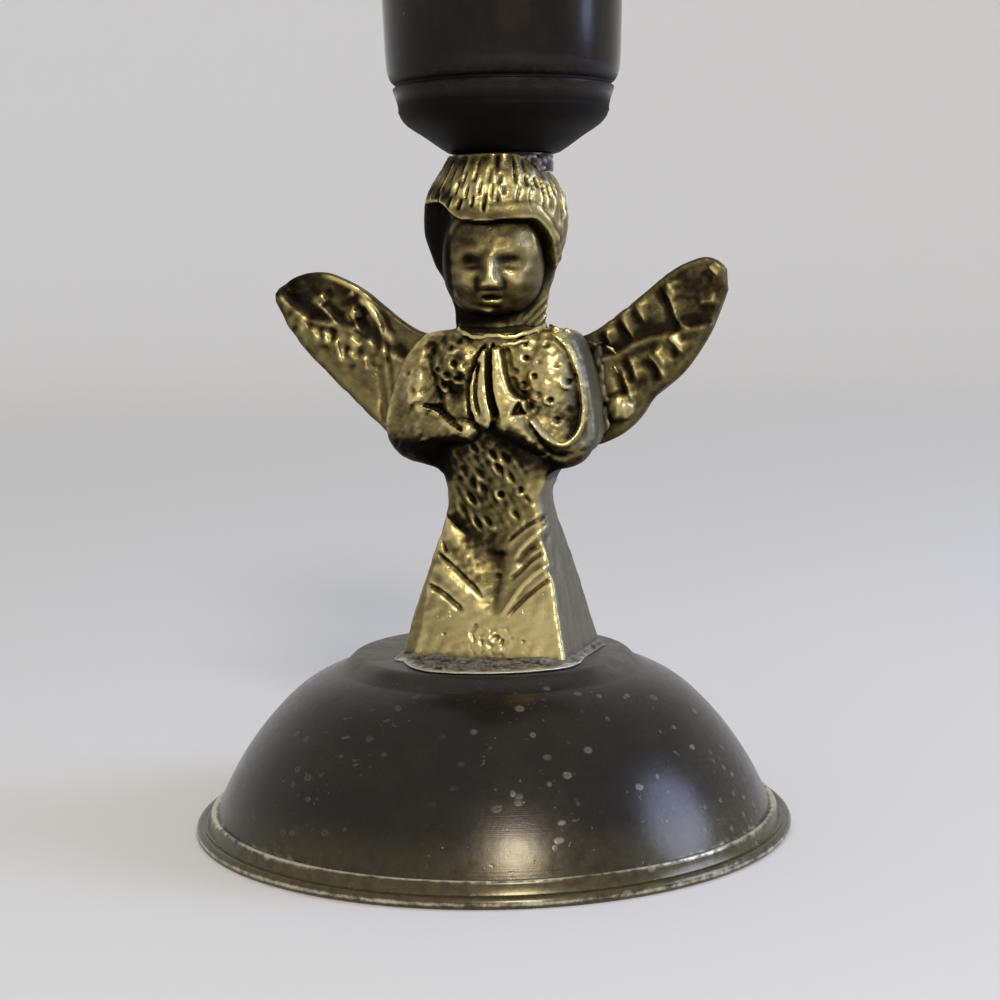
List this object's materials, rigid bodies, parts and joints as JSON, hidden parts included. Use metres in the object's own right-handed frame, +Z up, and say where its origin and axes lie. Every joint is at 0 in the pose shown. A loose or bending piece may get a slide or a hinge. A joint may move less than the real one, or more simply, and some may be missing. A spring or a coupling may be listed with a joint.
{
  "type": "candlestick",
  "caption": "Small brass candlestick: a praying angel with spread wings stands on a turned dome foot and carries a turned candle cup on the head.",
  "frame": {"origin": "centre of the round foot, on the table", "axes": "+Z up; the camera of the picture looks along +Y, and the angel's front is turned 15 degrees from -Y towards -X"},
  "size_m": [0.07, 0.07, 0.104],
  "materials": {
    "blackened_brass": "blackened, semi-gloss, rubbed bright on the rim's ridges",
    "solder_grey": "dull grey soft solder, lumpy as cast",
    "antique_brass": "antiqued cast brass, dark in the hollows",
    "dark_brass": "darkened cast brass",
    "cup_black": "blackened, glossy",
    "steel": "plain"
  },
  "bodies": {
    "root": {"base_dome": "blackened_brass", "foot_solder": "solder_grey", "angel_figure": "antique_brass", "left_wing": "dark_brass", "right_wing": "dark_brass", "cup_stub": "cup_black", "cup_solder": "solder_grey", "candle_cup": "cup_black", "cup_screw": "steel", "foot_stud": "steel", "foot_washer": "steel", "foot_nut": "steel"}
  },
  "joints": []
}
